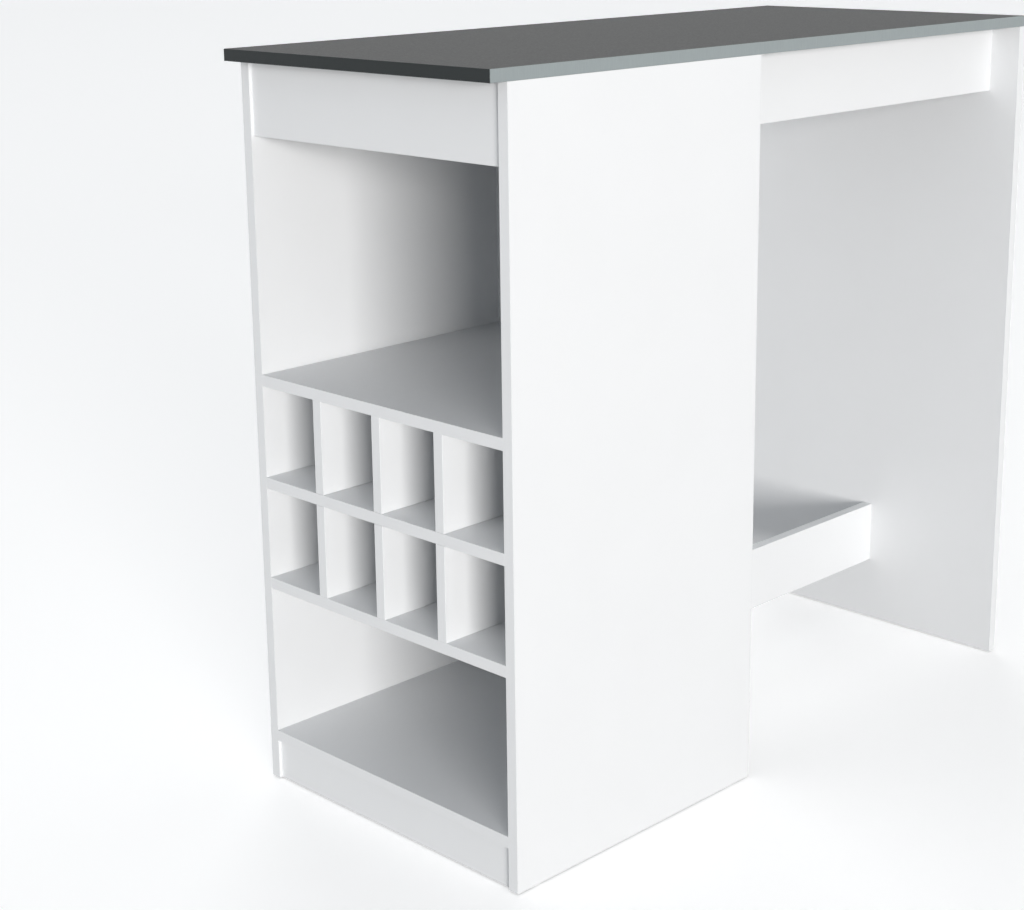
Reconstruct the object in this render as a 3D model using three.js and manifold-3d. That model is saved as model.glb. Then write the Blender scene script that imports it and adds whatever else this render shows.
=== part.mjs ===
// Bar counter of melamine board: a shelf cabinet that opens at one short end, with a bottle rack,
// and a knee space between the cabinet and a full-depth end panel.
// Millimetres, +Z up. X runs along the counter, with the cabinet's open end at -X. Y runs through
// its depth, with the near side at -Y. The origin is on the floor under the middle of the tabletop.
import * as THREE from "three";
import { mergeVertices } from "three/addons/utils/BufferGeometryUtils.js";
import Module from "manifold-3d";

const wasm = await Module();
wasm.setup();

// Overall sizes
const HEIGHT = 1040;
const DEPTH = 498;
const TOP_LENGTH = 1150;
const TOP_THICKNESS = 16;
const TOP_OVERHANG = 27;
const CABINET_LENGTH = 468;
const BOARD = 16;
const BAND = 1;

// Levels and compartments of the cabinet, from the floor up
const GLIDE_HEIGHT = 2;
const PLINTH_HEIGHT = 60;
const LOWER_BAY_HEIGHT = 215;
const CELL_HEIGHT = 130;
const DIVIDER_PITCH = 118;
const DIVIDER_COUNT = 3;
const FRONT_RECESS = 5;

// Cross boards
const APRON_HEIGHT = 100;
const APRON_SETBACK = 48;
const RAIL_HEIGHT = 100;
const RAIL_LEVEL = 106;

// The crossed slots of the bottle rack
const SLOT_CLEARANCE = 0.2;
const SLOT_RELIEF = 0.5;

// Wooden dowels, glued into one board and entering a blind hole in the next
const DOWEL_RADIUS = 4;
const DOWEL_CLEARANCE = 0.2;
const DOWEL_CHAMFER = 1;
const DOWEL_END_GAP = 1;
const DOWEL_ROOT = 2;
const HOLE_FLOOR = 4;
const SHELF_DOWEL_INSET = 90;
const CROSS_BOARD_DOWEL_INSET = 18;
const WALL_DOWEL_INSET = 45;
const WALL_DOWELS = 4;
const TOP_DOWEL_INSET = 30;

// Cam fittings: a cam in the face of one board draws in a bolt that is screwed into the next
const CAM_RADIUS = 7.3;
const CAM_CLEARANCE = 0.2;
const CAM_DISTANCE = 34;
const CAM_FLOOR = 3.5;
const CAM_INSET = 45;
const CAM_SINK = 0.3;
const CROSS_LENGTH = 7;
const CROSS_WIDTH = 1.4;
const CROSS_DEPTH = 2.2;
const BOLT_HEAD_RADIUS = 3.2;
const BOLT_NECK_RADIUS = 2.2;
const BOLT_NECK_LENGTH = 4;
const BOLT_SHANK_RADIUS = 3;
const BOLT_COLLAR_RADIUS = 3.6;
const BOLT_COLLAR_LENGTH = 2;
const BOLT_THREAD_RADIUS = 2.5;
const BOLT_POINT = 2;
const BOLT_CLEARANCE = 0.3;

// Floor glides, nailed into the upright panels
const GLIDE_RADIUS = 7;
const GLIDE_ROUND = 0.8;
const GLIDE_INSET = 40;
const NAIL_RADIUS = 1.1;
const NAIL_LENGTH = 14;
const NAIL_POINT = 2;
const NAIL_CLEARANCE = 0.2;

// Angle brackets between the upright panels and the tabletop
const BRACKET_LEG = 25;
const BRACKET_WIDTH = 16;
const BRACKET_GAUGE = 1.5;
const BRACKET_ROUND = 3;
const BRACKET_HOLE_RADIUS = 2.3;
const BRACKET_HOLE_FROM_BEND = 15;
const BRACKET_OFFSET = 110;

// Sides of the round pieces, and the grid that corners are rounded to after a cut
const DOWEL_SIDES = 8;
const BOLT_SIDES = 8;
const CAM_SIDES = 16;
const GLIDE_SIDES = 16;
const GRID = 1e-3;

// Planes that the boards share
const BODY_TOP = HEIGHT - TOP_THICKNESS;
const OPEN_END = TOP_OVERHANG - TOP_LENGTH / 2;
const CLOSED_END = TOP_LENGTH / 2;
const LEG_INSIDE = CLOSED_END - BOARD;
const CABINET_BACK = OPEN_END + CABINET_LENGTH;
const WALL_FRONT = CABINET_BACK - BOARD;
const NEAR = -DEPTH / 2;
const FAR = DEPTH / 2;
const NEAR_INSIDE = NEAR + BOARD;
const FAR_INSIDE = FAR - BOARD;
const LOWER_SHELF = PLINTH_HEIGHT + BOARD + LOWER_BAY_HEIGHT;
const MIDDLE_SHELF = LOWER_SHELF + BOARD + CELL_HEIGHT;
const UPPER_SHELF = MIDDLE_SHELF + BOARD + CELL_HEIGHT;
const APRON_LEVEL = BODY_TOP - APRON_HEIGHT;

const AXIS = {
  "+X": new THREE.Vector3(1, 0, 0),
  "-X": new THREE.Vector3(-1, 0, 0),
  "+Y": new THREE.Vector3(0, 1, 0),
  "-Y": new THREE.Vector3(0, -1, 0),
  "+Z": new THREE.Vector3(0, 0, 1),
  "-Z": new THREE.Vector3(0, 0, -1),
};

// Each sub-part gets a material of its own, in one of these finishes
const FINISH = {
  whiteMelamine: { color: 0xf4f6f7, roughness: 0.45, metalness: 0 },
  anthraciteBoard: { color: 0x6c6e6d, roughness: 0.55, metalness: 0 },
  anthraciteBand: { color: 0x454a4b, roughness: 0.5, metalness: 0 },
  greyBand: { color: 0xa0a6a8, roughness: 0.45, metalness: 0 },
  zinc: { color: 0x9a9b9c, roughness: 0.45, metalness: 0.9 },
  steel: { color: 0xb4b6b8, roughness: 0.35, metalness: 1 },
  whitePlastic: { color: 0xeceded, roughness: 0.5, metalness: 0 },
};

// A closed geometry as a solid that can be joined and cut
function solidOf(geometry) {
  const bare = new THREE.BufferGeometry();
  bare.setAttribute("position", geometry.getAttribute("position"));
  bare.setIndex(geometry.getIndex());
  const merged = mergeVertices(bare, GRID);
  const mesh = new wasm.Mesh({
    numProp: 3,
    vertProperties: merged.getAttribute("position").array,
    triVerts: new Uint32Array(merged.getIndex().array),
  });
  return new wasm.Manifold(mesh);
}

// A solid as a geometry about its own middle, with corners on the grid so that boards meet flat
function geometryOf(solid, middle) {
  const { vertProperties, triVerts } = solid.getMesh();
  const offset = middle.toArray();
  const position = Float32Array.from(
    vertProperties,
    (value, i) => Math.round(value / GRID) * GRID - offset[i % 3],
  );
  const geometry = new THREE.BufferGeometry();
  geometry.setAttribute("position", new THREE.BufferAttribute(position, 3));
  geometry.setIndex(new THREE.BufferAttribute(triVerts, 1));
  geometry.computeVertexNormals();
  return geometry;
}

function boxSolid(low, high) {
  const box = new THREE.Box3(new THREE.Vector3(...low), new THREE.Vector3(...high));
  const size = box.getSize(new THREE.Vector3());
  const middle = box.getCenter(new THREE.Vector3());
  const geometry = new THREE.BoxGeometry(size.x, size.y, size.z);
  geometry.translate(middle.x, middle.y, middle.z);
  return solidOf(geometry);
}

// A turned solid: its profile is a list of [distance along the axis, radius], from one end to the other
function turnedSolid(profile, sides, start, axis) {
  const points = profile.map(([along, radius]) => new THREE.Vector2(radius, along));
  const geometry = new THREE.LatheGeometry(points, sides);
  geometry.applyQuaternion(new THREE.Quaternion().setFromUnitVectors(AXIS["+Y"], axis));
  geometry.translate(start.x, start.y, start.z);
  return solidOf(geometry);
}

function rodSolid(radius, from, to, sides, start, axis) {
  const profile = [
    [from, 0],
    [from, radius],
    [to, radius],
    [to, 0],
  ];
  return turnedSolid(profile, sides, start, axis);
}

function step(point, axis, distance) {
  return point.clone().addScaledVector(axis, distance);
}

const counter = new THREE.Group();
const pieces = new Map();

function group(name) {
  const made = new THREE.Group();
  made.name = name;
  counter.add(made);
  return made;
}

const topGroup = group("top");
const cabinetGroup = group("cabinet");
const kneeGroup = group("knee_space");
const fittingGroup = group("fittings");

function piece(name, parent, finish, solid) {
  const made = { name, parent, finish, solid };
  pieces.set(name, made);
  return made;
}

function board(name, parent, low, high) {
  return piece(name, parent, FINISH.whiteMelamine, boxSolid(low, high));
}

// A dowel stands out of one board where it meets the next, which has a blind hole for it
function dowel(owner, neighbour, mouth, axis, neighbourThickness) {
  const start = new THREE.Vector3(...mouth);
  const depth = neighbourThickness - HOLE_FLOOR;
  const reach = depth - DOWEL_END_GAP;
  const profile = [
    [-DOWEL_ROOT, 0],
    [-DOWEL_ROOT, DOWEL_RADIUS],
    [reach - DOWEL_CHAMFER, DOWEL_RADIUS],
    [reach, DOWEL_RADIUS - DOWEL_CHAMFER],
    [reach, 0],
  ];
  owner.solid = owner.solid.add(turnedSolid(profile, DOWEL_SIDES, start, axis));
  const bore = DOWEL_RADIUS + DOWEL_CLEARANCE;
  const hole = rodSolid(bore, -DOWEL_ROOT, depth, DOWEL_SIDES, start, axis);
  neighbour.solid = neighbour.solid.subtract(hole);
}

// The bolt's profile, from its point inside the neighbour to its head inside the cam
function boltProfile() {
  const thread = BOARD - HOLE_FLOOR - BOLT_CLEARANCE;
  const headStart = CAM_DISTANCE - BOLT_HEAD_RADIUS;
  const neckStart = headStart - BOLT_NECK_LENGTH;
  const headChamfer = BOLT_HEAD_RADIUS - BOLT_NECK_RADIUS;
  return [
    [-thread, 0],
    [-thread + BOLT_POINT, BOLT_THREAD_RADIUS],
    [BOLT_CLEARANCE, BOLT_THREAD_RADIUS],
    [BOLT_CLEARANCE, BOLT_COLLAR_RADIUS],
    [BOLT_COLLAR_LENGTH, BOLT_COLLAR_RADIUS],
    [BOLT_COLLAR_LENGTH, BOLT_SHANK_RADIUS],
    [neckStart - headChamfer, BOLT_SHANK_RADIUS],
    [neckStart, BOLT_NECK_RADIUS],
    [headStart, BOLT_NECK_RADIUS],
    [headStart + headChamfer, BOLT_HEAD_RADIUS],
    [CAM_DISTANCE + headChamfer, BOLT_HEAD_RADIUS],
    [CAM_DISTANCE + BOLT_HEAD_RADIUS, BOLT_NECK_RADIUS],
    [CAM_DISTANCE + BOLT_HEAD_RADIUS, 0],
  ];
}

// The slot of the cam's cross recess that runs along one axis of the board's face
function crossSlot(centre, face, along) {
  const across = face.clone().cross(along);
  const half = along.clone().multiplyScalar(CROSS_LENGTH / 2);
  half.addScaledVector(across, CROSS_WIDTH / 2);
  half.addScaledVector(face, CROSS_DEPTH);
  const corners = new THREE.Box3().setFromPoints([centre.clone().add(half), centre.clone().sub(half)]);
  return boxSolid(corners.min.toArray(), corners.max.toArray());
}

// A cam fitting where the owner's end meets the neighbour. The cam sits in the owner's face that
// looks along face, and the bolt runs along axis at the middle of the owner's thickness.
function camFitting(name, owner, neighbour, mouth, axis, face) {
  const start = new THREE.Vector3(...mouth);
  const inward = axis.clone().negate();
  const camDepth = BOARD - CAM_FLOOR;
  const boltBore = BOLT_COLLAR_RADIUS + BOLT_CLEARANCE;
  const threadBore = BOLT_THREAD_RADIUS + BOLT_CLEARANCE;
  const surface = step(step(start, inward, CAM_DISTANCE), face, BOARD / 2);
  const down = face.clone().negate();

  const camBore = rodSolid(CAM_RADIUS + CAM_CLEARANCE, -BOARD, camDepth, CAM_SIDES, surface, down);
  const channel = rodSolid(boltBore, -BOLT_COLLAR_LENGTH, CAM_DISTANCE, BOLT_SIDES, start, inward);
  const threadHole = rodSolid(threadBore, -BOLT_POINT, BOARD - HOLE_FLOOR, BOLT_SIDES, start, axis);
  owner.solid = owner.solid.subtract(camBore).subtract(channel);
  neighbour.solid = neighbour.solid.subtract(threadHole);

  const pocketEnd = CAM_DISTANCE + BOLT_HEAD_RADIUS + BOLT_CLEARANCE;
  const pocket = rodSolid(BOLT_HEAD_RADIUS + BOLT_CLEARANCE, 0, pocketEnd, BOLT_SIDES, start, inward);
  const recess = step(surface, down, CAM_SINK);
  const cam = rodSolid(CAM_RADIUS, CAM_SINK, camDepth - CAM_SINK, CAM_SIDES, surface, down)
    .subtract(pocket)
    .subtract(crossSlot(recess, face, axis))
    .subtract(crossSlot(recess, face, axis.clone().cross(face)));
  piece(`cam_${name}`, fittingGroup, FINISH.zinc, cam);
  const bolt = turnedSolid(boltProfile(), BOLT_SIDES, start, inward);
  piece(`cam_bolt_${name}`, fittingGroup, FINISH.steel, bolt);
}

// Tabletop and its edge bands. The long bands cover the ends of the short ones.
const tabletop = piece(
  "tabletop",
  topGroup,
  FINISH.anthraciteBoard,
  boxSolid(
    [-TOP_LENGTH / 2 + BAND, NEAR + BAND, BODY_TOP],
    [TOP_LENGTH / 2 - BAND, FAR - BAND, HEIGHT],
  ),
);
for (const [side, low, high] of [
  ["near", NEAR, NEAR + BAND],
  ["far", FAR - BAND, FAR],
]) {
  const band = boxSolid([-TOP_LENGTH / 2, low, BODY_TOP], [TOP_LENGTH / 2, high, HEIGHT]);
  piece(`top_edge_band_${side}`, topGroup, FINISH.greyBand, band);
}
for (const [side, low, high] of [
  ["open_end", -TOP_LENGTH / 2, -TOP_LENGTH / 2 + BAND],
  ["closed_end", TOP_LENGTH / 2 - BAND, TOP_LENGTH / 2],
]) {
  const band = boxSolid([low, NEAR + BAND, BODY_TOP], [high, FAR - BAND, HEIGHT]);
  piece(`top_edge_band_${side}`, topGroup, FINISH.anthraciteBand, band);
}

// Upright panels
const sideNear = board(
  "side_panel_near",
  cabinetGroup,
  [OPEN_END, NEAR, GLIDE_HEIGHT],
  [CABINET_BACK, NEAR_INSIDE, BODY_TOP],
);
const sideFar = board(
  "side_panel_far",
  cabinetGroup,
  [OPEN_END, FAR_INSIDE, GLIDE_HEIGHT],
  [CABINET_BACK, FAR, BODY_TOP],
);
const innerWall = board(
  "inner_wall",
  cabinetGroup,
  [WALL_FRONT, NEAR_INSIDE, GLIDE_HEIGHT],
  [CABINET_BACK, FAR_INSIDE, BODY_TOP],
);
const endPanel = board(
  "end_panel",
  kneeGroup,
  [LEG_INSIDE, NEAR, GLIDE_HEIGHT],
  [CLOSED_END, FAR, BODY_TOP],
);

// A pair of joints, one at each side panel of the cabinet
const CABINET_SIDES = [
  { side: "near", panel: sideNear, y: NEAR_INSIDE, axis: AXIS["-Y"] },
  { side: "far", panel: sideFar, y: FAR_INSIDE, axis: AXIS["+Y"] },
];

function shelf(name, level) {
  const made = board(
    name,
    cabinetGroup,
    [OPEN_END, NEAR_INSIDE, level],
    [WALL_FRONT, FAR_INSIDE, level + BOARD],
  );
  for (const { panel, y, axis } of CABINET_SIDES) {
    for (const x of [OPEN_END + SHELF_DOWEL_INSET, WALL_FRONT - SHELF_DOWEL_INSET]) {
      dowel(made, panel, [x, y, level + BOARD / 2], axis, BOARD);
    }
  }
  return made;
}

function shelfCams(label, made, level) {
  for (const { side, panel, y, axis } of CABINET_SIDES) {
    for (const [place, x] of [
      ["front", OPEN_END + CAM_INSET],
      ["back", WALL_FRONT - CAM_INSET],
    ]) {
      const mouth = [x, y, level + BOARD / 2];
      camFitting(`${label}_${side}_${place}`, made, panel, mouth, axis, AXIS["-Z"]);
    }
  }
}

const baseBoard = shelf("base_board", PLINTH_HEIGHT);
const lowerShelf = shelf("lower_shelf", LOWER_SHELF);
const middleShelf = shelf("middle_shelf", MIDDLE_SHELF);
const upperShelf = shelf("upper_shelf", UPPER_SHELF);
shelfCams("base", baseBoard, PLINTH_HEIGHT);
shelfCams("upper_shelf", upperShelf, UPPER_SHELF);

// Plinth and cabinet apron, both set back behind the panels' front edges
function cabinetCrossBoard(name, low, high) {
  const front = OPEN_END + FRONT_RECESS;
  const made = board(name, cabinetGroup, [front, NEAR_INSIDE, low], [front + BOARD, FAR_INSIDE, high]);
  for (const { panel, y, axis } of CABINET_SIDES) {
    for (const z of [low + CROSS_BOARD_DOWEL_INSET, high - CROSS_BOARD_DOWEL_INSET]) {
      dowel(made, panel, [front + BOARD / 2, y, z], axis, BOARD);
    }
  }
}
cabinetCrossBoard("plinth_board", GLIDE_HEIGHT, PLINTH_HEIGHT);
cabinetCrossBoard("cabinet_apron", APRON_LEVEL, BODY_TOP);

// Inner wall between the side panels
const wallSpan = BODY_TOP - GLIDE_HEIGHT - 2 * WALL_DOWEL_INSET;
for (const { panel, y, axis } of CABINET_SIDES) {
  for (let i = 0; i < WALL_DOWELS; i++) {
    const z = GLIDE_HEIGHT + WALL_DOWEL_INSET + (wallSpan * i) / (WALL_DOWELS - 1);
    dowel(innerWall, panel, [CABINET_BACK - BOARD / 2, y, z], axis, BOARD);
  }
}

// Bottle rack: the dividers are slotted from the front and the middle shelf from the back, each
// to half its length, so that they slide into one another
const rackLength = WALL_FRONT - OPEN_END;
const slotLength = rackLength / 2 + SLOT_RELIEF;
for (let i = 0; i < DIVIDER_COUNT; i++) {
  const y = (i - (DIVIDER_COUNT - 1) / 2) * DIVIDER_PITCH;
  const divider = board(
    `rack_divider_${i + 1}`,
    cabinetGroup,
    [OPEN_END, y - BOARD / 2, LOWER_SHELF + BOARD],
    [WALL_FRONT, y + BOARD / 2, UPPER_SHELF],
  );
  const dividerSlot = boxSolid(
    [OPEN_END - BOARD, y - BOARD, MIDDLE_SHELF - SLOT_CLEARANCE],
    [OPEN_END + slotLength, y + BOARD, MIDDLE_SHELF + BOARD + SLOT_CLEARANCE],
  );
  const shelfSlot = boxSolid(
    [WALL_FRONT - slotLength, y - BOARD / 2 - SLOT_CLEARANCE, MIDDLE_SHELF - BOARD],
    [WALL_FRONT + BOARD, y + BOARD / 2 + SLOT_CLEARANCE, MIDDLE_SHELF + 2 * BOARD],
  );
  divider.solid = divider.solid.subtract(dividerSlot);
  middleShelf.solid = middleShelf.solid.subtract(shelfSlot);
  for (const x of [OPEN_END + SHELF_DOWEL_INSET, WALL_FRONT - SHELF_DOWEL_INSET]) {
    dowel(divider, lowerShelf, [x, y, LOWER_SHELF + BOARD], AXIS["-Z"], BOARD);
    dowel(divider, upperShelf, [x, y, UPPER_SHELF], AXIS["+Z"], BOARD);
  }
}

// Cross boards of the knee space, held by a cam fitting and two dowels at each end
function kneeBoard(name, nearFace, low, high, camFace) {
  const made = board(name, kneeGroup, [CABINET_BACK, nearFace, low], [LEG_INSIDE, nearFace + BOARD, high]);
  const y = nearFace + BOARD / 2;
  for (const [place, x, neighbour, axis] of [
    ["cabinet", CABINET_BACK, innerWall, AXIS["-X"]],
    ["end_panel", LEG_INSIDE, endPanel, AXIS["+X"]],
  ]) {
    camFitting(`${name}_${place}`, made, neighbour, [x, y, (low + high) / 2], axis, camFace);
    for (const z of [low + CROSS_BOARD_DOWEL_INSET, high - CROSS_BOARD_DOWEL_INSET]) {
      dowel(made, neighbour, [x, y, z], axis, BOARD);
    }
  }
}
kneeBoard("knee_apron_near", NEAR + APRON_SETBACK, APRON_LEVEL, BODY_TOP, AXIS["+Y"]);
kneeBoard("knee_apron_far", FAR - APRON_SETBACK - BOARD, APRON_LEVEL, BODY_TOP, AXIS["-Y"]);
kneeBoard("foot_rail", -BOARD / 2, RAIL_LEVEL, RAIL_LEVEL + RAIL_HEIGHT, AXIS["+Y"]);

// Dowels that place the tabletop on the upright panels
for (const { panel, y, axis } of CABINET_SIDES) {
  for (const x of [OPEN_END + SHELF_DOWEL_INSET, CABINET_BACK - SHELF_DOWEL_INSET]) {
    dowel(panel, tabletop, [x, y + (axis.y * BOARD) / 2, BODY_TOP], AXIS["+Z"], TOP_THICKNESS);
  }
}
for (const y of [NEAR + TOP_DOWEL_INSET, FAR - TOP_DOWEL_INSET]) {
  dowel(endPanel, tabletop, [CLOSED_END - BOARD / 2, y, BODY_TOP], AXIS["+Z"], TOP_THICKNESS);
}

// Angle brackets: one leg lies on an upright panel, the other under the tabletop
function bracketSolid(corner, away) {
  const outline = new THREE.Shape();
  outline.moveTo(0, 0);
  outline.lineTo(BRACKET_LEG, 0);
  outline.lineTo(BRACKET_LEG, -BRACKET_GAUGE);
  outline.lineTo(BRACKET_ROUND, -BRACKET_GAUGE);
  outline.lineTo(BRACKET_GAUGE, -BRACKET_ROUND);
  outline.lineTo(BRACKET_GAUGE, -BRACKET_LEG);
  outline.lineTo(0, -BRACKET_LEG);
  outline.closePath();
  const geometry = new THREE.ExtrudeGeometry(outline, { depth: BRACKET_WIDTH, bevelEnabled: false });
  geometry.translate(0, 0, -BRACKET_WIDTH / 2);
  const across = away.clone().cross(AXIS["+Z"]);
  const frame = new THREE.Matrix4().makeBasis(away, AXIS["+Z"], across);
  geometry.applyMatrix4(frame);
  geometry.translate(corner.x, corner.y, corner.z);
  const topHole = step(corner, away, BRACKET_HOLE_FROM_BEND);
  const panelHole = step(corner, AXIS["-Z"], BRACKET_HOLE_FROM_BEND);
  const through = 2 * BRACKET_GAUGE;
  return solidOf(geometry)
    .subtract(rodSolid(BRACKET_HOLE_RADIUS, -through, through, BOLT_SIDES, topHole, AXIS["-Z"]))
    .subtract(rodSolid(BRACKET_HOLE_RADIUS, -through, through, BOLT_SIDES, panelHole, away));
}
const cabinetMiddle = (OPEN_END + WALL_FRONT) / 2;
for (const [name, corner, away] of [
  ["side_near", [cabinetMiddle, NEAR_INSIDE, BODY_TOP], AXIS["+Y"]],
  ["side_far", [cabinetMiddle, FAR_INSIDE, BODY_TOP], AXIS["-Y"]],
  ["end_panel_near", [LEG_INSIDE, -BRACKET_OFFSET, BODY_TOP], AXIS["-X"]],
  ["end_panel_far", [LEG_INSIDE, BRACKET_OFFSET, BODY_TOP], AXIS["-X"]],
]) {
  const solid = bracketSolid(new THREE.Vector3(...corner), away);
  piece(`top_bracket_${name}`, fittingGroup, FINISH.steel, solid);
}

// Floor glides: a disc with a nail that is driven up into the panel's bottom edge
function glide(name, panel, x, y) {
  const floorPoint = new THREE.Vector3(x, y, 0);
  const tip = GLIDE_HEIGHT + NAIL_LENGTH;
  const profile = [
    [0, 0],
    [0, GLIDE_RADIUS - GLIDE_ROUND],
    [GLIDE_ROUND, GLIDE_RADIUS],
    [GLIDE_HEIGHT, GLIDE_RADIUS],
    [GLIDE_HEIGHT, NAIL_RADIUS],
    [tip - NAIL_POINT, NAIL_RADIUS],
    [tip, 0],
  ];
  const solid = turnedSolid(profile, GLIDE_SIDES, floorPoint, AXIS["+Z"]);
  const bore = NAIL_RADIUS + NAIL_CLEARANCE;
  const hole = rodSolid(bore, 0, tip + NAIL_CLEARANCE, GLIDE_SIDES, floorPoint, AXIS["+Z"]);
  panel.solid = panel.solid.subtract(hole);
  piece(`floor_glide_${name}`, fittingGroup, FINISH.whitePlastic, solid);
}
for (const { side, panel, y, axis } of CABINET_SIDES) {
  const middle = y + (axis.y * BOARD) / 2;
  glide(`${side}_front`, panel, OPEN_END + GLIDE_INSET, middle);
  glide(`${side}_back`, panel, CABINET_BACK - GLIDE_INSET, middle);
}
glide("end_panel_near", endPanel, CLOSED_END - BOARD / 2, NEAR + GLIDE_INSET);
glide("end_panel_far", endPanel, CLOSED_END - BOARD / 2, FAR - GLIDE_INSET);

// Every finished solid becomes a mesh, placed by the middle of its own box
for (const { name, parent, finish, solid } of pieces.values()) {
  const { min, max } = solid.boundingBox();
  const middle = new THREE.Vector3(...min).add(new THREE.Vector3(...max)).divideScalar(2).round();
  const mesh = new THREE.Mesh(geometryOf(solid, middle), new THREE.MeshStandardMaterial(finish));
  mesh.name = name;
  mesh.position.copy(middle);
  parent.add(mesh);
}

export default counter;
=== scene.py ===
"""Looks of the bar counter: finishes, eased edges, edge bands, cams, screws, light and camera."""
import math

import bmesh
import bpy
from mathutils import Matrix, Vector


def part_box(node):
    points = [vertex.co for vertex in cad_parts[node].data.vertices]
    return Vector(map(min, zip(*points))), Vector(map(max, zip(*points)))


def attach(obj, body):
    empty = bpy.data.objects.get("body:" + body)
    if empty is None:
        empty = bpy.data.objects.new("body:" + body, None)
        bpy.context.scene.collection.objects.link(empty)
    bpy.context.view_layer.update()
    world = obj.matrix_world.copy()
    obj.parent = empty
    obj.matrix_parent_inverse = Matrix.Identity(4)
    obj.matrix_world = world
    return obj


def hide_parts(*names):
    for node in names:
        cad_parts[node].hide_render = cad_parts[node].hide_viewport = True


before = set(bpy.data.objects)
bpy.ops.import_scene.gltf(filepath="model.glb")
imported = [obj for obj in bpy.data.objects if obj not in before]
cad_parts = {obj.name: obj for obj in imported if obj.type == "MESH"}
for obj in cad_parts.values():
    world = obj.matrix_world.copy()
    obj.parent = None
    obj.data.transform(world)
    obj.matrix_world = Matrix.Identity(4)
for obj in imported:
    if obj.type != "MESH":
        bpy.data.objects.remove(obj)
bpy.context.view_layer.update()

MM = 0.001

# Image and camera, fitted to the photograph's corners
IMAGE_WIDTH = 1024
IMAGE_HEIGHT = 910
PRINCIPAL_ROW = 370
FOCAL_PIXELS = 1931.6
SENSOR_MM = 36
CAMERA_PLACE = Vector((-2.107, -1.8202, 1.2327))
CAMERA_TURN = math.radians(44.806)
CAMERA_DOWN = math.radians(13.879)
CAMERA_ROLL = math.radians(-0.731)

# Light: a key from the front left, a fill from the back right, an overhead light and a pale surround
KEY_TURN = math.radians(31)
KEY_DISTANCE = 20
KEY_WIDTH = 7.8
KEY_TALL = 5.3
KEY_WATTS = 3950
KEY_COLOUR = (1, 0.978, 0.955)
FILL_TURN = math.radians(40)
FILL_HEIGHT = math.radians(8)
FILL_STRENGTH = 2.3
FILL_ANGLE = math.radians(40)
OVERHEAD_STRENGTH = 0.47
OVERHEAD_ANGLE = math.radians(80)
SURROUND_STRENGTH = 0.35
SURROUND_LEAN = 0.6
SURROUND_COLOUR = (0.91, 0.955, 1)
SURROUND_SEEN = 0.9
FLOOR_SIZE = 60
FLOOR_COLOUR = (0.8, 0.8, 0.8)
FLOOR_BOUNCE_COLOUR = (0.5, 0.5, 0.5)
FLOOR_GLOW = 0.4
PLAIN_WHITE = (1, 1, 1)

# Colours, linear
WHITE = (0.765, 0.776, 0.788)
WHITE_BAND = (0.745, 0.756, 0.768)
ANTHRACITE = (0.033, 0.036, 0.036)
ANTHRACITE_BAND = (0.019, 0.0235, 0.0245)
ANTHRACITE_GLOSS = 0.34
ANTHRACITE_BAND_GLOSS = 0.25
GREY_BAND = (0.262, 0.296, 0.302)
GREY_BAND_GLOSS = 0.4
ZINC = (0.5, 0.5, 0.51)
STEEL = (0.62, 0.63, 0.64)
GLIDE_WHITE = (0.8, 0.81, 0.81)

# The values between which most noise lies
NOISE_LOW = 0.3
NOISE_HIGH = 0.7

# White melamine: a pearl texture, faint clouds, and smoother edge bands with a thin glue line
PEARL_GRAIN = 0.7 * MM
PEARL_DEPTH = 0.025 * MM
PEARL_SHADE = 0.96
PEARL_SHARE = 0.35
CLOUD_GRAIN = 120 * MM
CLOUD_SHADE = 0.985
SATIN_GRAIN = 6 * MM
SATIN_ROUGHNESS = (0.4, 0.5)
WHITE_BAND_THICKNESS = 0.8 * MM
WHITE_BAND_POLISH = 0.08
WHITE_BAND_LEVELLING = 0.8
GLUE_LINE = 0.06 * MM
GLUE_SHADE = 0.45
GLUE_SHARE = 0.5

# Anthracite facing: a fine stone grain and faint clouds
STONE_GRAIN = 0.5 * MM
STONE_DEPTH = 0.02 * MM
STONE_TONES = (0.86, 1.14)
TOP_CLOUD_GRAIN = 60 * MM
TOP_CLOUD_SHADE = 0.94
TOP_CLOUD_SHARE = 0.5
MATT_GRAIN = 3 * MM
MATT_ROUGHNESS = (0.53, 0.63)

# Plastic edge bands: scraper marks that run up and down
SCRAPER_GRAIN = 0.8 * MM
SCRAPER_STRETCH = (1, 1, 0.05)
SCRAPER_DEPTH = 0.008 * MM
SCRAPER_TONES = (0.96, 1.04)
BAND_GRAIN = 4 * MM
BAND_ROUGHNESS = (0.38, 0.48)

# Zinc casting: mottled and pitted
MOTTLE_GRAIN = 1.5 * MM
MOTTLE_SHADE = 0.8
PIT_GRAIN = 0.4 * MM
PIT_DEPTH = 0.02 * MM
ZINC_ROUGHNESS = (0.38, 0.55)

# Plated steel: brushed
BRUSH_GRAIN = 0.3 * MM
BRUSH_STRETCH = (1, 1, 0.1)
BRUSH_DEPTH = 0.005 * MM
STEEL_CLOUD_GRAIN = 5 * MM
STEEL_CLOUD_SHADE = 0.88
STEEL_ROUGHNESS = (0.26, 0.42)

# Moulded plastic: a fine skin
SKIN_GRAIN = 0.3 * MM
SKIN_DEPTH = 0.015 * MM
SKIN_SHADE = 0.95
SKIN_ROUGHNESS = (0.45, 0.6)

# Edges
BOARD_ROUNDING = 0.5 * MM
TOP_ROUNDING = 0.12 * MM
BAND_ROUNDING = 0.6 * MM
FITTING_ROUNDING = 0.25 * MM
ROUNDING_STEPS = 3
ROUND_PROFILE = 0.5
SHARP_ANGLE = math.radians(50)
WELD_DISTANCE = 0.01 * MM
FLAT_ANGLE = math.radians(0.5)

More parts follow.
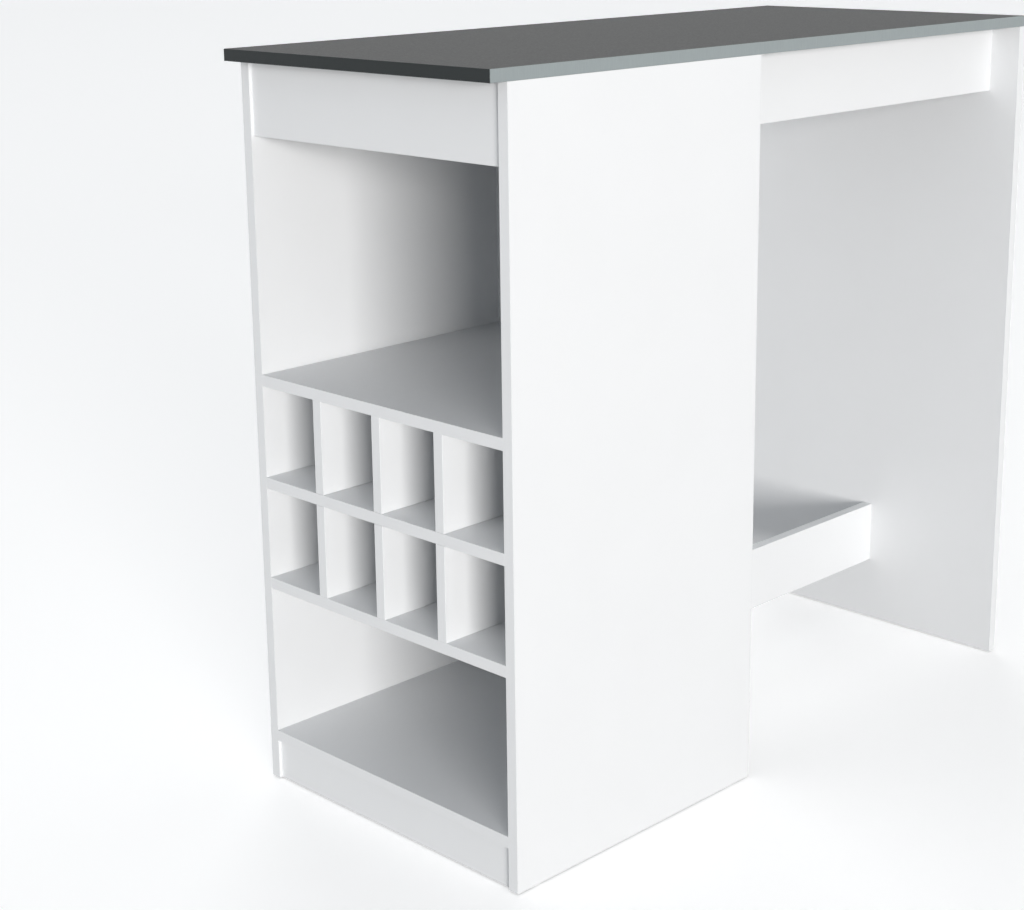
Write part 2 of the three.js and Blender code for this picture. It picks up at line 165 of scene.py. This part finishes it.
# The axis at whose two ends each white board has banded edges
BAND_AXIS = {
    "side_panel_near": "X",
    "side_panel_far": "X",
    "inner_wall": "Z",
    "end_panel": "Y",
    "base_board": "X",
    "plinth_board": "Z",
    "lower_shelf": "X",
    "middle_shelf": "X",
    "upper_shelf": "X",
    "rack_divider_1": "X",
    "rack_divider_2": "X",
    "rack_divider_3": "X",
    "cabinet_apron": "Z",
    "knee_apron_near": "Z",
    "knee_apron_far": "Z",
    "foot_rail": "Z",
}

# The tabletop's edge bands: the way each one faces, and its finish
TOP_BANDS = {
    "near": (Vector((0, -1, 0)), "grey_edge_band"),
    "far": (Vector((0, 1, 0)), "grey_edge_band"),
    "open_end": (Vector((-1, 0, 0)), "anthracite_edge_band"),
    "closed_end": (Vector((1, 0, 0)), "anthracite_edge_band"),
}

# The way that the cams of each board face
CAM_FACES = {
    "base": Vector((0, 0, -1)),
    "upper_shelf": Vector((0, 0, -1)),
    "knee_apron_near": Vector((0, 1, 0)),
    "knee_apron_far": Vector((0, -1, 0)),
    "foot_rail": Vector((0, 1, 0)),
}
CAM_RADIUS = 7.3 * MM
CAM_CHAMFER = 0.5 * MM
CAM_SIDES = 48
CROSS_LENGTH = 7 * MM
CROSS_WIDTH = 1.4 * MM
CROSS_DEPTH = 2.2 * MM
ARROW_LENGTH = 1.8 * MM
ARROW_WIDTH = 1.6 * MM
ARROW_DEPTH = 0.4 * MM
ARROW_OFFSET = 5.2 * MM

# A cross recess narrows to this share at its floor, and its cutter stands above the surface by a share
CROSS_TAPER = 0.8
CROSS_RISE = 0.25

# The way that each angle bracket's upper leg points
BRACKETS = {
    "side_near": Vector((0, 1, 0)),
    "side_far": Vector((0, -1, 0)),
    "end_panel_near": Vector((-1, 0, 0)),
    "end_panel_far": Vector((-1, 0, 0)),
}
BRACKET_HOLE_FROM_BEND = 15 * MM
BRACKET_GAUGE = 1.5 * MM
SCREW_HEAD_RADIUS = 3.9 * MM
SCREW_HEAD_HEIGHT = 2.1 * MM
SCREW_SHANK_RADIUS = 1.9 * MM
SCREW_SHANK_LENGTH = 12 * MM
SCREW_POINT = 4 * MM
SCREW_SIDES = 40
SCREW_CROSS_LENGTH = 4.4 * MM
SCREW_CROSS_WIDTH = 0.9 * MM
SCREW_CROSS_DEPTH = 1.3 * MM
DOME_STEPS = 6


# Node helpers

def start_material(name):
    material = bpy.data.materials.new(name)
    material.use_nodes = True
    tree = material.node_tree
    return material, tree, tree.nodes["Principled BSDF"]


def join(tree, source, target):
    tree.links.new(source, target)


def place_of(tree):
    """The point of the surface, in metres in the object's frame."""
    return tree.nodes.new("ShaderNodeTexCoord").outputs["Object"]


def stretched(tree, place, scale):
    """The point scaled by axis: a small scale draws noise out along its axis."""
    node = tree.nodes.new("ShaderNodeMapping")
    node.inputs["Scale"].default_value = scale
    join(tree, place, node.inputs["Vector"])
    return node.outputs["Vector"]


def noise(tree, place, grain, detail=3):
    """Noise from 0 to 1 whose grains are about as wide as grain, in metres."""
    node = tree.nodes.new("ShaderNodeTexNoise")
    node.inputs["Scale"].default_value = 1 / grain
    node.inputs["Detail"].default_value = detail
    join(tree, place, node.inputs["Vector"])
    return node.outputs["Fac"]


def spread(tree, source, low, high):
    """Noise of usual contrast mapped to the range from low to high."""
    node = tree.nodes.new("ShaderNodeMapRange")
    node.inputs["From Min"].default_value = NOISE_LOW
    node.inputs["From Max"].default_value = NOISE_HIGH
    node.inputs["To Min"].default_value = low
    node.inputs["To Max"].default_value = high
    join(tree, source, node.inputs["Value"])
    return node.outputs["Result"]


def sums(tree, operation, *values):
    """A Math node: each value is a socket or a number."""
    node = tree.nodes.new("ShaderNodeMath")
    node.operation = operation
    for socket, value in zip(node.inputs, values):
        if isinstance(value, bpy.types.NodeSocket):
            join(tree, value, socket)
        else:
            socket.default_value = value
    return node.outputs["Value"]


def mix_colour(tree, factor, first, second):
    """The first colour at factor 0 and the second at 1. The factor is a socket, a colour may be one."""
    node = tree.nodes.new("ShaderNodeMix")
    node.data_type = "RGBA"
    sockets = {socket.identifier: socket for socket in node.inputs}
    join(tree, factor, sockets["Factor_Float"])
    for key, value in (("A_Color", first), ("B_Color", second)):
        if isinstance(value, bpy.types.NodeSocket):
            join(tree, value, sockets[key])
        else:
            sockets[key].default_value = (*value, 1)
    return next(socket for socket in node.outputs if socket.identifier == "Result_Color")


def shaded(colour, share):
    return tuple(channel * share for channel in colour)


def relief(tree, shader, height, depth):
    """Bump of a height from 0 to 1 over a depth in metres."""
    node = tree.nodes.new("ShaderNodeBump")
    node.inputs["Strength"].default_value = 1
    node.inputs["Distance"].default_value = depth
    join(tree, height, node.inputs["Height"])
    join(tree, node.outputs["Normal"], shader.inputs["Normal"])


# Materials

def white_melamine(name, axis, low, high):
    """Pearl-textured white facing, with smooth white edge bands at both ends of the given axis."""
    material, tree, shader = start_material(name)
    place = place_of(tree)
    parts = tree.nodes.new("ShaderNodeSeparateXYZ")
    join(tree, place, parts.inputs["Vector"])
    from_low = sums(tree, "SUBTRACT", parts.outputs[axis], low)
    from_high = sums(tree, "SUBTRACT", high, parts.outputs[axis])
    inward = sums(tree, "MINIMUM", from_low, from_high)
    band = sums(tree, "LESS_THAN", inward, WHITE_BAND_THICKNESS)
    line = sums(tree, "COMPARE", inward, WHITE_BAND_THICKNESS, GLUE_LINE)

    pearl = noise(tree, place, PEARL_GRAIN, detail=2)
    cloud = noise(tree, place, CLOUD_GRAIN)
    facing = mix_colour(tree, spread(tree, cloud, 0, 1), shaded(WHITE, CLOUD_SHADE), WHITE)
    facing = mix_colour(tree, spread(tree, pearl, 0, PEARL_SHARE), facing, shaded(WHITE, PEARL_SHADE))
    colour = mix_colour(tree, band, facing, WHITE_BAND)
    glue = sums(tree, "MULTIPLY", line, GLUE_SHARE)
    colour = mix_colour(tree, glue, colour, shaded(WHITE_BAND, GLUE_SHADE))
    join(tree, colour, shader.inputs["Base Color"])

    satin = spread(tree, noise(tree, place, SATIN_GRAIN), *SATIN_ROUGHNESS)
    polish = sums(tree, "MULTIPLY", band, WHITE_BAND_POLISH)
    join(tree, sums(tree, "SUBTRACT", satin, polish), shader.inputs["Roughness"])
    levelling = sums(tree, "MULTIPLY", band, WHITE_BAND_LEVELLING)
    texture = sums(tree, "MULTIPLY", pearl, sums(tree, "SUBTRACT", 1, levelling))
    relief(tree, shader, texture, PEARL_DEPTH)
    return material


def anthracite_top():
    """Matt anthracite facing with a fine stone grain."""
    material, tree, shader = start_material("anthracite_top")
    place = place_of(tree)
    grain = noise(tree, place, STONE_GRAIN, detail=2)
    cloud = noise(tree, place, TOP_CLOUD_GRAIN, detail=4)
    dark, pale = (shaded(ANTHRACITE, tone) for tone in STONE_TONES)
    colour = mix_colour(tree, spread(tree, grain, 0, 1), dark, pale)
    clouded = shaded(ANTHRACITE, TOP_CLOUD_SHADE)
    colour = mix_colour(tree, spread(tree, cloud, 0, TOP_CLOUD_SHARE), colour, clouded)
    join(tree, colour, shader.inputs["Base Color"])
    join(tree, spread(tree, noise(tree, place, MATT_GRAIN), *MATT_ROUGHNESS), shader.inputs["Roughness"])
    shader.inputs["Specular IOR Level"].default_value = ANTHRACITE_GLOSS
    relief(tree, shader, grain, STONE_DEPTH)
    return material


def edge_band_plastic(name, tint, gloss):
    """Extruded plastic band with faint scraper marks across it."""
    material, tree, shader = start_material(name)
    place = place_of(tree)
    marks = noise(tree, stretched(tree, place, SCRAPER_STRETCH), SCRAPER_GRAIN, detail=2)
    dark, pale = (shaded(tint, tone) for tone in SCRAPER_TONES)
    colour = mix_colour(tree, spread(tree, marks, 0, 1), dark, pale)
    join(tree, colour, shader.inputs["Base Color"])
    join(tree, spread(tree, noise(tree, place, BAND_GRAIN), *BAND_ROUGHNESS), shader.inputs["Roughness"])
    shader.inputs["Specular IOR Level"].default_value = gloss
    relief(tree, shader, marks, SCRAPER_DEPTH)
    return material


def cast_zinc():
    """Bare die casting: dull, mottled and slightly pitted."""
    material, tree, shader = start_material("zinc_cam")
    place = place_of(tree)
    mottle = noise(tree, place, MOTTLE_GRAIN, detail=4)
    colour = mix_colour(tree, spread(tree, mottle, 0, 1), shaded(ZINC, MOTTLE_SHADE), ZINC)
    join(tree, colour, shader.inputs["Base Color"])
    shader.inputs["Metallic"].default_value = 1
    join(tree, spread(tree, mottle, *ZINC_ROUGHNESS), shader.inputs["Roughness"])
    relief(tree, shader, noise(tree, place, PIT_GRAIN), PIT_DEPTH)
    return material


def plated_steel():
    """Zinc-plated sheet steel with a fine brushed grain."""
    material, tree, shader = start_material("bright_steel")
    place = place_of(tree)
    brushed = noise(tree, stretched(tree, place, BRUSH_STRETCH), BRUSH_GRAIN)
    cloud = noise(tree, place, STEEL_CLOUD_GRAIN)
    colour = mix_colour(tree, spread(tree, cloud, 0, 1), shaded(STEEL, STEEL_CLOUD_SHADE), STEEL)
    join(tree, colour, shader.inputs["Base Color"])
    shader.inputs["Metallic"].default_value = 1
    join(tree, spread(tree, brushed, *STEEL_ROUGHNESS), shader.inputs["Roughness"])
    relief(tree, shader, brushed, BRUSH_DEPTH)
    return material


def moulded_plastic():
    """White moulded plastic with a fine spark-eroded skin."""
    material, tree, shader = start_material("glide_plastic")
    place = place_of(tree)
    skin = noise(tree, place, SKIN_GRAIN, detail=2)
    colour = mix_colour(tree, spread(tree, skin, 0, 1), shaded(GLIDE_WHITE, SKIN_SHADE), GLIDE_WHITE)
    join(tree, colour, shader.inputs["Base Color"])
    join(tree, spread(tree, skin, *SKIN_ROUGHNESS), shader.inputs["Roughness"])
    relief(tree, shader, skin, SKIN_DEPTH)
    return material


FINISHES = {
    "anthracite_top": anthracite_top(),
    "grey_edge_band": edge_band_plastic("grey_edge_band", GREY_BAND, GREY_BAND_GLOSS),
    "anthracite_edge_band": edge_band_plastic(
        "anthracite_edge_band", ANTHRACITE_BAND, ANTHRACITE_BAND_GLOSS
    ),
    "zinc_cam": cast_zinc(),
    "bright_steel": plated_steel(),
    "glide_plastic": moulded_plastic(),
}


# Carried-over solids: their own shape, with eased edges

def dress(node, material):
    node.data.materials.clear()
    node.data.materials.append(material)


def ease_edges(node, width):
    """Merges the facets of flat faces and rounds the sharp edges."""
    weld = node.modifiers.new("weld", "WELD")
    weld.merge_threshold = WELD_DISTANCE
    flat = node.modifiers.new("flat_faces", "DECIMATE")
    flat.decimate_type = "DISSOLVE"
    flat.angle_limit = FLAT_ANGLE
    rounding = node.modifiers.new("rounding", "BEVEL")
    rounding.width = width
    rounding.segments = ROUNDING_STEPS
    rounding.limit_method = "ANGLE"
    rounding.angle_limit = SHARP_ANGLE
    rounding.miter_outer = "MITER_ARC"
    normals = node.modifiers.new("normals", "WEIGHTED_NORMAL")
    normals.keep_sharp = True


def dress_boards():
    for name, axis in BAND_AXIS.items():
        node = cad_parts[name]
        low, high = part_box(name)
        index = "XYZ".index(axis)
        dress(node, white_melamine(f"white_melamine_{name}", axis, low[index], high[index]))
        ease_edges(node, BOARD_ROUNDING)
    dress(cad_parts["tabletop"], FINISHES["anthracite_top"])
    ease_edges(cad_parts["tabletop"], TOP_ROUNDING)


def dress_fittings():
    for name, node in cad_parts.items():
        if name.startswith("floor_glide_"):
            dress(node, FINISHES["glide_plastic"])
            ease_edges(node, FITTING_ROUNDING)
        elif name.startswith(("cam_bolt_", "top_bracket_")):
            dress(node, FINISHES["bright_steel"])
            ease_edges(node, FITTING_ROUNDING)


# New pieces

def link_new(name, data):
    """A new object in the scene, of a mesh, lamp or camera."""
    thing = bpy.data.objects.new(name, data)
    bpy.context.scene.collection.objects.link(thing)
    return thing


def mesh_from(shape, name, smooth=True):
    mesh = bpy.data.meshes.new(name)
    shape.normal_update()
    shape.to_mesh(mesh)
    shape.free()
    for polygon in mesh.polygons:
        polygon.use_smooth = smooth
    return mesh


def middle_of(node):
    low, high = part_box(node)
    return (low + high) / 2


def box_shape(low, high):
    shape = bmesh.new()
    bmesh.ops.create_cube(shape, size=1)
    size = Matrix.Diagonal((*(high - low), 1))
    bmesh.ops.transform(shape, matrix=Matrix.Translation((low + high) / 2) @ size, verts=shape.verts)
    return shape


def make_top_bands():
    """Bands with rounded outer edges. The long ones cover the short ones, so their ends are rounded too."""
    for side, (outward, slot) in TOP_BANDS.items():
        node = f"top_edge_band_{side}"
        shape = box_shape(*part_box(node))
        middle = middle_of(node)
        long_band = outward.y != 0
        rounded = []
        for edge in shape.edges:
            start, end = (corner.co - middle for corner in edge.verts)
            on_outside = min(start.dot(outward), end.dot(outward)) > 0
            level = abs((end - start).z) < WELD_DISTANCE
            if on_outside and (level or long_band):
                rounded.append(edge)
        bmesh.ops.bevel(
            shape,
            geom=rounded,
            offset=BAND_ROUNDING,
            segments=ROUNDING_STEPS,
            profile=ROUND_PROFILE,
            affect="EDGES",
        )
        mesh = mesh_from(shape, f"rounded_top_band_{side}")
        mesh.materials.append(FINISHES[slot])
        piece = link_new(f"rounded_top_band_{side}", mesh)
        piece.modifiers.new("normals", "WEIGHTED_NORMAL")
        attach(piece, "root")
        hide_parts(node)


def turned_shape(profile, sides):
    """A solid of revolution about Z from a list of (radius, height), both ends on the axis."""
    shape = bmesh.new()
    outline = [shape.verts.new((radius, 0, height)) for radius, height in profile]
    for first, second in zip(outline, outline[1:]):
        shape.edges.new((first, second))
    bmesh.ops.spin(
        shape,
        geom=list(shape.verts) + list(shape.edges),
        axis=(0, 0, 1),
        cent=(0, 0, 0),
        angle=2 * math.pi,
        steps=sides,
    )
    bmesh.ops.remove_doubles(shape, verts=shape.verts, dist=WELD_DISTANCE)
    bmesh.ops.recalc_face_normals(shape, faces=shape.faces)
    return shape


def prism_shape(floor, mouth):
    """A closed solid between two outlines with as many corners."""
    shape = bmesh.new()
    low = [shape.verts.new(corner) for corner in floor]
    high = [shape.verts.new(corner) for corner in mouth]
    shape.faces.new(low)
    shape.faces.new(high)
    for i in range(len(low)):
        j = (i + 1) % len(low)
        shape.faces.new((low[i], low[j], high[j], high[i]))
    bmesh.ops.recalc_face_normals(shape, faces=shape.faces)
    return shape


def cross_shape(length, width, depth, top):
    """A cross-shaped cutter whose floor lies depth below top."""
    arm = length / 2
    half = width / 2
    quarter = [(arm, half), (half, half), (half, arm)]
    corners = []
    for _ in range(4):
        corners += quarter
        quarter = [(-y, x) for x, y in quarter]
    floor = [(x * CROSS_TAPER, y * CROSS_TAPER, top - depth) for x, y in corners]
    mouth = [(x, y, top + depth * CROSS_RISE) for x, y in corners]
    return prism_shape(floor, mouth)


def arrow_shape(top):
    """A cutter for a small triangular mark, which points along +X."""
    tip = ARROW_OFFSET + ARROW_LENGTH / 2
    tail = ARROW_OFFSET - ARROW_LENGTH / 2
    corners = [(tip, 0), (tail, ARROW_WIDTH / 2), (tail, -ARROW_WIDTH / 2)]
    floor = [(x, y, top - ARROW_DEPTH) for x, y in corners]
    mouth = [(x, y, top + ARROW_DEPTH) for x, y in corners]
    return prism_shape(floor, mouth)


def carved(shape, cutters, name):
    """The shape with the cutters taken out of it, as a mesh."""
    body = link_new(name, mesh_from(shape, name))
    helpers = []
    for cutter in cutters:
        helper = link_new(f"{name}_cutter", mesh_from(cutter, f"{name}_cutter"))
        helpers.append(helper)
        cut = body.modifiers.new("cut", "BOOLEAN")
        cut.operation = "DIFFERENCE"
        cut.solver = "EXACT"
        cut.object = helper
    graph = bpy.context.evaluated_depsgraph_get()
    mesh = bpy.data.meshes.new_from_object(body.evaluated_get(graph))
    mesh.name = name
    for scratch in [body, *helpers]:
        bpy.data.objects.remove(scratch)
    mesh.set_sharp_from_angle(angle=SHARP_ANGLE)
    return mesh


def standing(centre, up, ahead):
    """A frame at centre whose Z points along up and whose X points along ahead."""
    side = up.cross(ahead)
    turn = Matrix((ahead, side, up)).transposed()
    return Matrix.Translation(centre) @ turn.to_4x4()


def make_cams():
    """Round cams with a cross recess and a mark towards the bolt, in place of the faceted ones."""
    low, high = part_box("cam_foot_rail_cabinet")
    depth = (high - low).y
    profile = [
        (0, -depth),
        (CAM_RADIUS, -depth),
        (CAM_RADIUS, -CAM_CHAMFER),
        (CAM_RADIUS - CAM_CHAMFER, 0),
        (0, 0),
    ]
    cutters = [cross_shape(CROSS_LENGTH, CROSS_WIDTH, CROSS_DEPTH, 0), arrow_shape(0)]
    mesh = carved(turned_shape(profile, CAM_SIDES), cutters, "cam")
    mesh.materials.append(FINISHES["zinc_cam"])
    for board, face in CAM_FACES.items():
        for node in sorted(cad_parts):
            if not node.startswith(f"cam_{board}_"):
                continue
            middle = middle_of(node)
            to_bolt = middle_of(node.replace("cam_", "cam_bolt_", 1)) - middle
            ahead = (to_bolt - face * to_bolt.dot(face)).normalized()
            piece = link_new(f"round_{node}", mesh)
            piece.matrix_world = standing(middle + face * (depth / 2), face, ahead)
            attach(piece, "root")
            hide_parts(node)


def make_bracket_screws():
    """Pan-head screws with a cross recess, two in each angle bracket."""
    dome = []
    for i in range(DOME_STEPS):
        angle = math.pi / 2 * i / DOME_STEPS
        dome.append((SCREW_HEAD_RADIUS * math.cos(angle), SCREW_HEAD_HEIGHT * math.sin(angle)))
    profile = [
        (0, -SCREW_SHANK_LENGTH),
        (SCREW_SHANK_RADIUS, -SCREW_SHANK_LENGTH + SCREW_POINT),
        (SCREW_SHANK_RADIUS, 0),
        *dome,
        (0, SCREW_HEAD_HEIGHT),
    ]
    cutters = [cross_shape(SCREW_CROSS_LENGTH, SCREW_CROSS_WIDTH, SCREW_CROSS_DEPTH, SCREW_HEAD_HEIGHT)]
    mesh = carved(turned_shape(profile, SCREW_SIDES), cutters, "bracket_screw")
    mesh.materials.append(FINISHES["bright_steel"])
    down = Vector((0, 0, -1))
    for place, away in BRACKETS.items():
        low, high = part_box(f"top_bracket_{place}")
        reach = abs((high - low).dot(away))
        corner = (low + high) / 2 - away * (reach / 2)
        corner.z = high.z
        seats = {
            "top": (corner + away * BRACKET_HOLE_FROM_BEND + down * BRACKET_GAUGE, down),
            "panel": (corner + down * BRACKET_HOLE_FROM_BEND + away * BRACKET_GAUGE, away),
        }
        for leg, (seat, outward) in seats.items():
            piece = link_new(f"screw_{place}_{leg}", mesh)
            piece.matrix_world = standing(seat, outward, away.cross(down))
            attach(piece, "root")


# Stage, light and camera

def seen_directly(tree):
    """1 for a ray from the camera, a mirrored one or one let through, and 0 for other light."""
    ray = tree.nodes.new("ShaderNodeLightPath")
    seen = sums(tree, "MAXIMUM", ray.outputs["Is Camera Ray"], ray.outputs["Is Glossy Ray"])
    return sums(tree, "MAXIMUM", seen, ray.outputs["Is Transmission Ray"])


def make_floor():
    """A pale matt floor, which glows a little where it is seen directly and still shows shadows."""
    shape = bmesh.new()
    bmesh.ops.create_grid(shape, x_segments=1, y_segments=1, size=FLOOR_SIZE / 2)
    floor = link_new("floor", mesh_from(shape, "floor", smooth=False))
    material, tree, shader = start_material("floor_paper")
    seen = seen_directly(tree)
    join(tree, mix_colour(tree, seen, FLOOR_BOUNCE_COLOUR, FLOOR_COLOUR), shader.inputs["Base Color"])
    join(tree, sums(tree, "MULTIPLY", seen, FLOOR_GLOW), shader.inputs["Emission Strength"])
    shader.inputs["Emission Color"].default_value = (*PLAIN_WHITE, 1)
    shader.inputs["Roughness"].default_value = 1
    shader.inputs["Specular IOR Level"].default_value = 0
    floor.data.materials.append(material)


def shine_from(light, towards):
    """Turns a light to shine from the given direction, out of sight of the camera and reflections."""
    light.rotation_mode = "QUATERNION"
    light.rotation_quaternion = towards.to_track_quat("Z", "Y")
    light.visible_camera = False
    light.visible_glossy = False


def make_key():
    """A tall soft panel that stands on the floor at the front left."""
    lamp = bpy.data.lights.new("key", "AREA")
    lamp.shape = "RECTANGLE"
    lamp.size = KEY_WIDTH
    lamp.size_y = KEY_TALL
    lamp.energy = KEY_WATTS
    lamp.color = KEY_COLOUR
    light = link_new("key", lamp)
    towards = Vector((-math.sin(KEY_TURN), -math.cos(KEY_TURN), 0))
    light.location = towards * KEY_DISTANCE + Vector((0, 0, KEY_TALL / 2))
    shine_from(light, towards)


def make_fill():
    """A broad low light from the back right."""
    lamp = bpy.data.lights.new("fill", "SUN")
    lamp.energy = FILL_STRENGTH
    lamp.angle = FILL_ANGLE
    level = math.cos(FILL_HEIGHT)
    towards = Vector((math.sin(FILL_TURN) * level, math.cos(FILL_TURN) * level, math.sin(FILL_HEIGHT)))
    shine_from(link_new("fill", lamp), towards)


def make_overhead():
    """A broad soft light from straight above."""
    lamp = bpy.data.lights.new("overhead", "SUN")
    lamp.energy = OVERHEAD_STRENGTH
    lamp.angle = OVERHEAD_ANGLE
    link_new("overhead", lamp)


def make_surround():
    """A pale surround whose light is strongest at the open end. Seen directly, it is one pale tone."""
    world = bpy.data.worlds.new("surround")
    bpy.context.scene.world = world
    world.use_nodes = True
    tree = world.node_tree
    background = tree.nodes["Background"]
    seen = seen_directly(tree)
    join(tree, mix_colour(tree, seen, SURROUND_COLOUR, PLAIN_WHITE), background.inputs["Color"])
    parts = tree.nodes.new("ShaderNodeSeparateXYZ")
    join(tree, tree.nodes.new("ShaderNodeTexCoord").outputs["Generated"], parts.inputs["Vector"])
    slope = -SURROUND_LEAN * SURROUND_STRENGTH
    leaning = sums(tree, "MULTIPLY_ADD", parts.outputs["X"], slope, SURROUND_STRENGTH)
    hidden = sums(tree, "MULTIPLY", leaning, sums(tree, "SUBTRACT", 1, seen))
    shown = sums(tree, "MULTIPLY", seen, SURROUND_SEEN)
    join(tree, sums(tree, "ADD", hidden, shown), background.inputs["Strength"])


def make_camera():
    data = bpy.data.cameras.new("camera")
    data.sensor_width = SENSOR_MM
    data.lens = FOCAL_PIXELS / IMAGE_WIDTH * SENSOR_MM
    data.shift_y = -(IMAGE_HEIGHT / 2 - PRINCIPAL_ROW) / IMAGE_WIDTH
    data.clip_end = FLOOR_SIZE * 2
    camera = link_new("camera", data)
    level = math.cos(CAMERA_DOWN)
    look = Vector((math.sin(CAMERA_TURN) * level, math.cos(CAMERA_TURN) * level, -math.sin(CAMERA_DOWN)))
    turn = look.to_track_quat("-Z", "Y").to_matrix().to_4x4()
    roll = Matrix.Rotation(CAMERA_ROLL, 4, "Z")
    camera.matrix_world = Matrix.Translation(CAMERA_PLACE) @ turn @ roll
    bpy.context.scene.camera = camera


dress_boards()
dress_fittings()
make_top_bands()
make_cams()
make_bracket_screws()
make_floor()
make_key()
make_fill()
make_overhead()
make_surround()
make_camera()
bpy.context.scene.view_settings.view_transform = "Standard"
